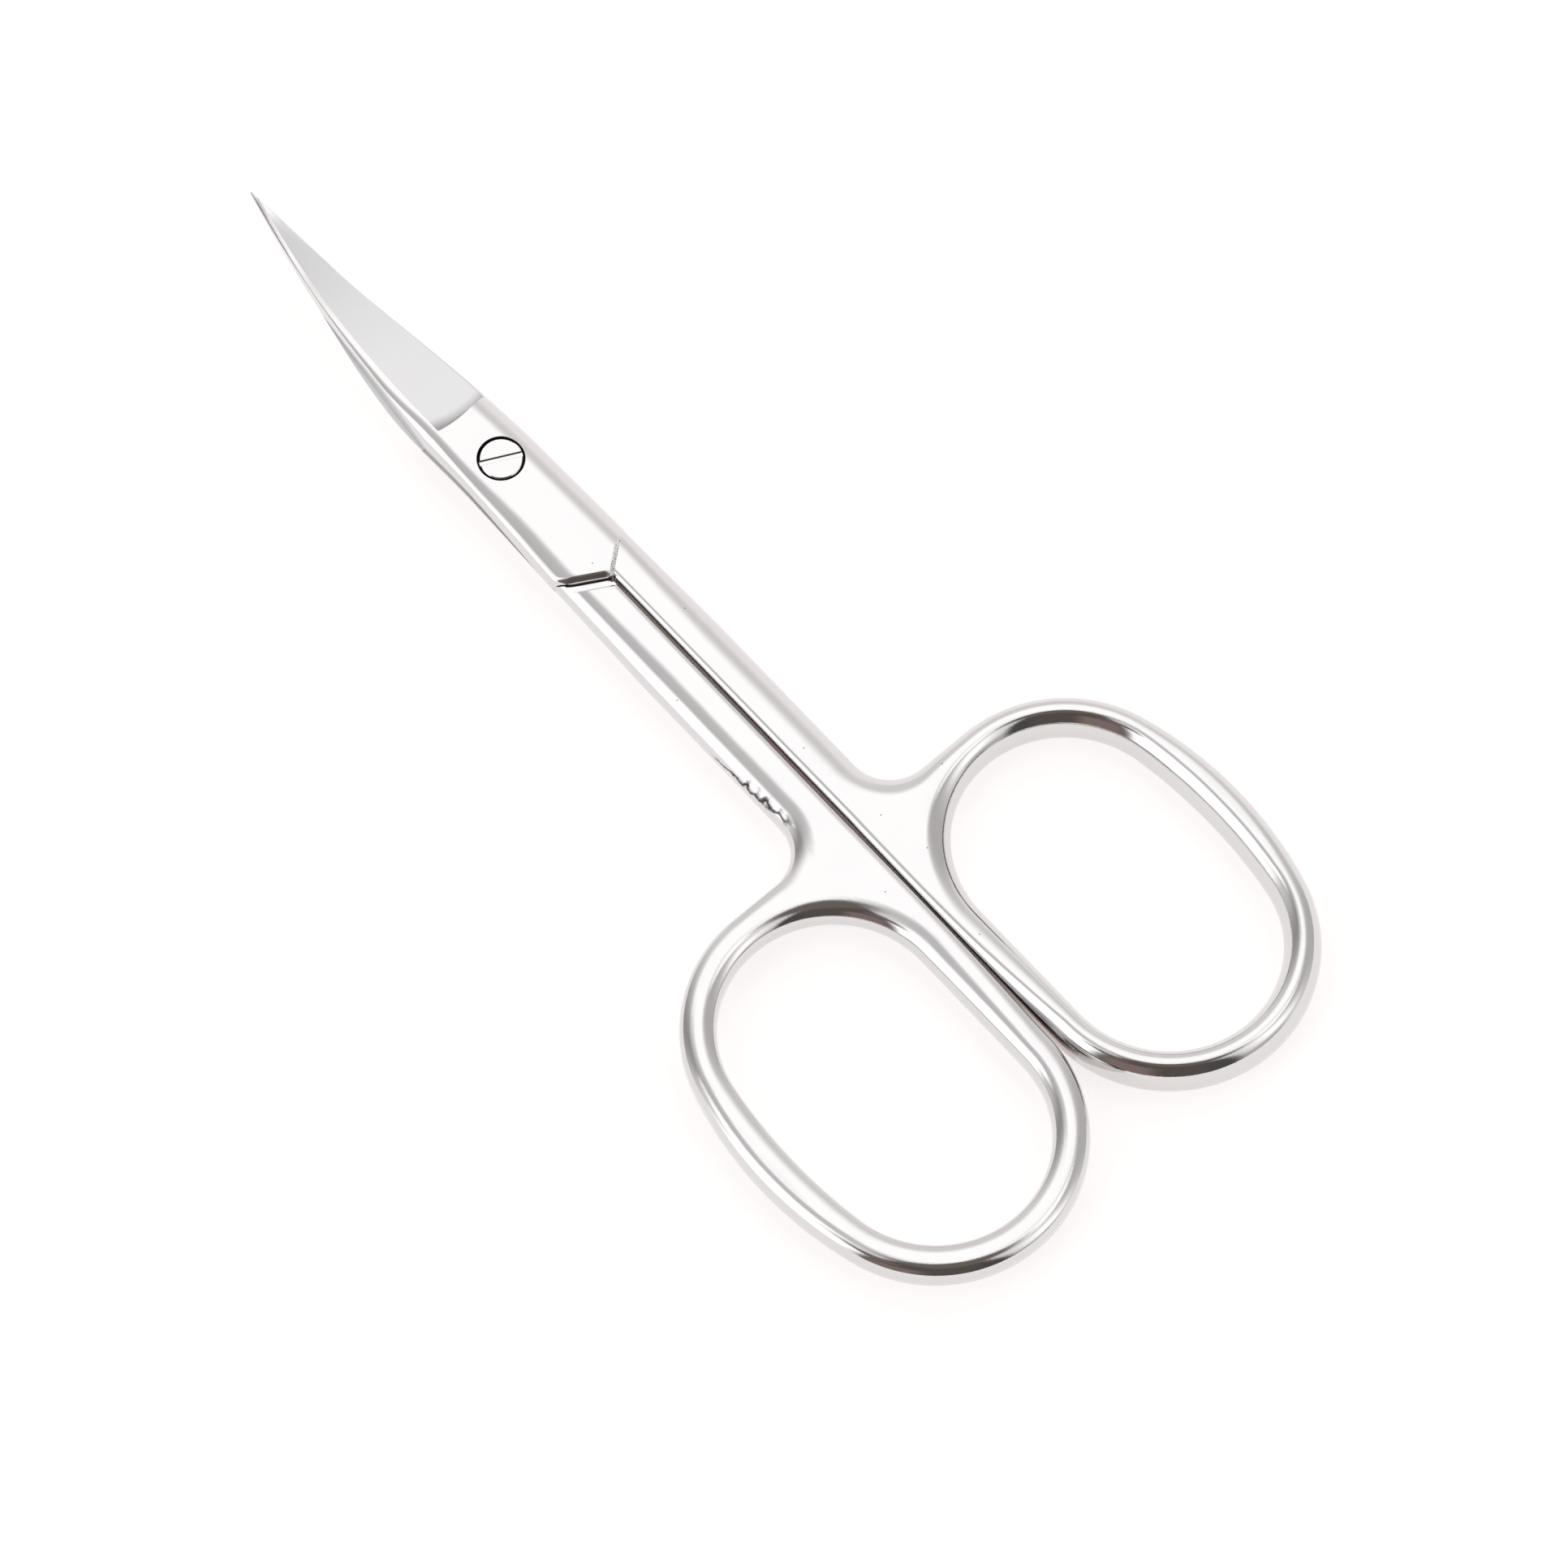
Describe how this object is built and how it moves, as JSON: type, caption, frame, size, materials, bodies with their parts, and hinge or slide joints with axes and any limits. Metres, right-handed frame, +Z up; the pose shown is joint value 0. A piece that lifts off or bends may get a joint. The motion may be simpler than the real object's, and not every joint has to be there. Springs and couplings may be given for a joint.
{
  "type": "curved eyebrow scissors",
  "caption": "Small polished steel scissors with pointed blades that curve up, a slotted pivot screw and oblong finger rings, for trimming eyebrows.",
  "frame": {"origin": "on the pivot axis, at the underside of the joint, where the screw's end is flush", "axes": "+X along the closed scissors to the blade tips, +Y to the lower half's ring, +Z up along the pivot axis to the screw's head"},
  "size_m": [0.0896, 0.0418, 0.0057],
  "materials": {
    "polished_steel": "bright plated and polished, with a satin ground face on each blade",
    "screw_steel": "bright plated, slotted head"
  },
  "bodies": {
    "lower_half": {"lower_half": "polished_steel", "pivot_screw": "screw_steel"},
    "upper_half": {"upper_half": "polished_steel"}
  },
  "joints": [
    {"name": "blade_pivot", "type": "hinge", "parent": "lower_half", "child": "upper_half", "pos_m": [0, 0, 0.0018], "axis": [0, 0, 1], "range_deg": [0, 60]}
  ]
}
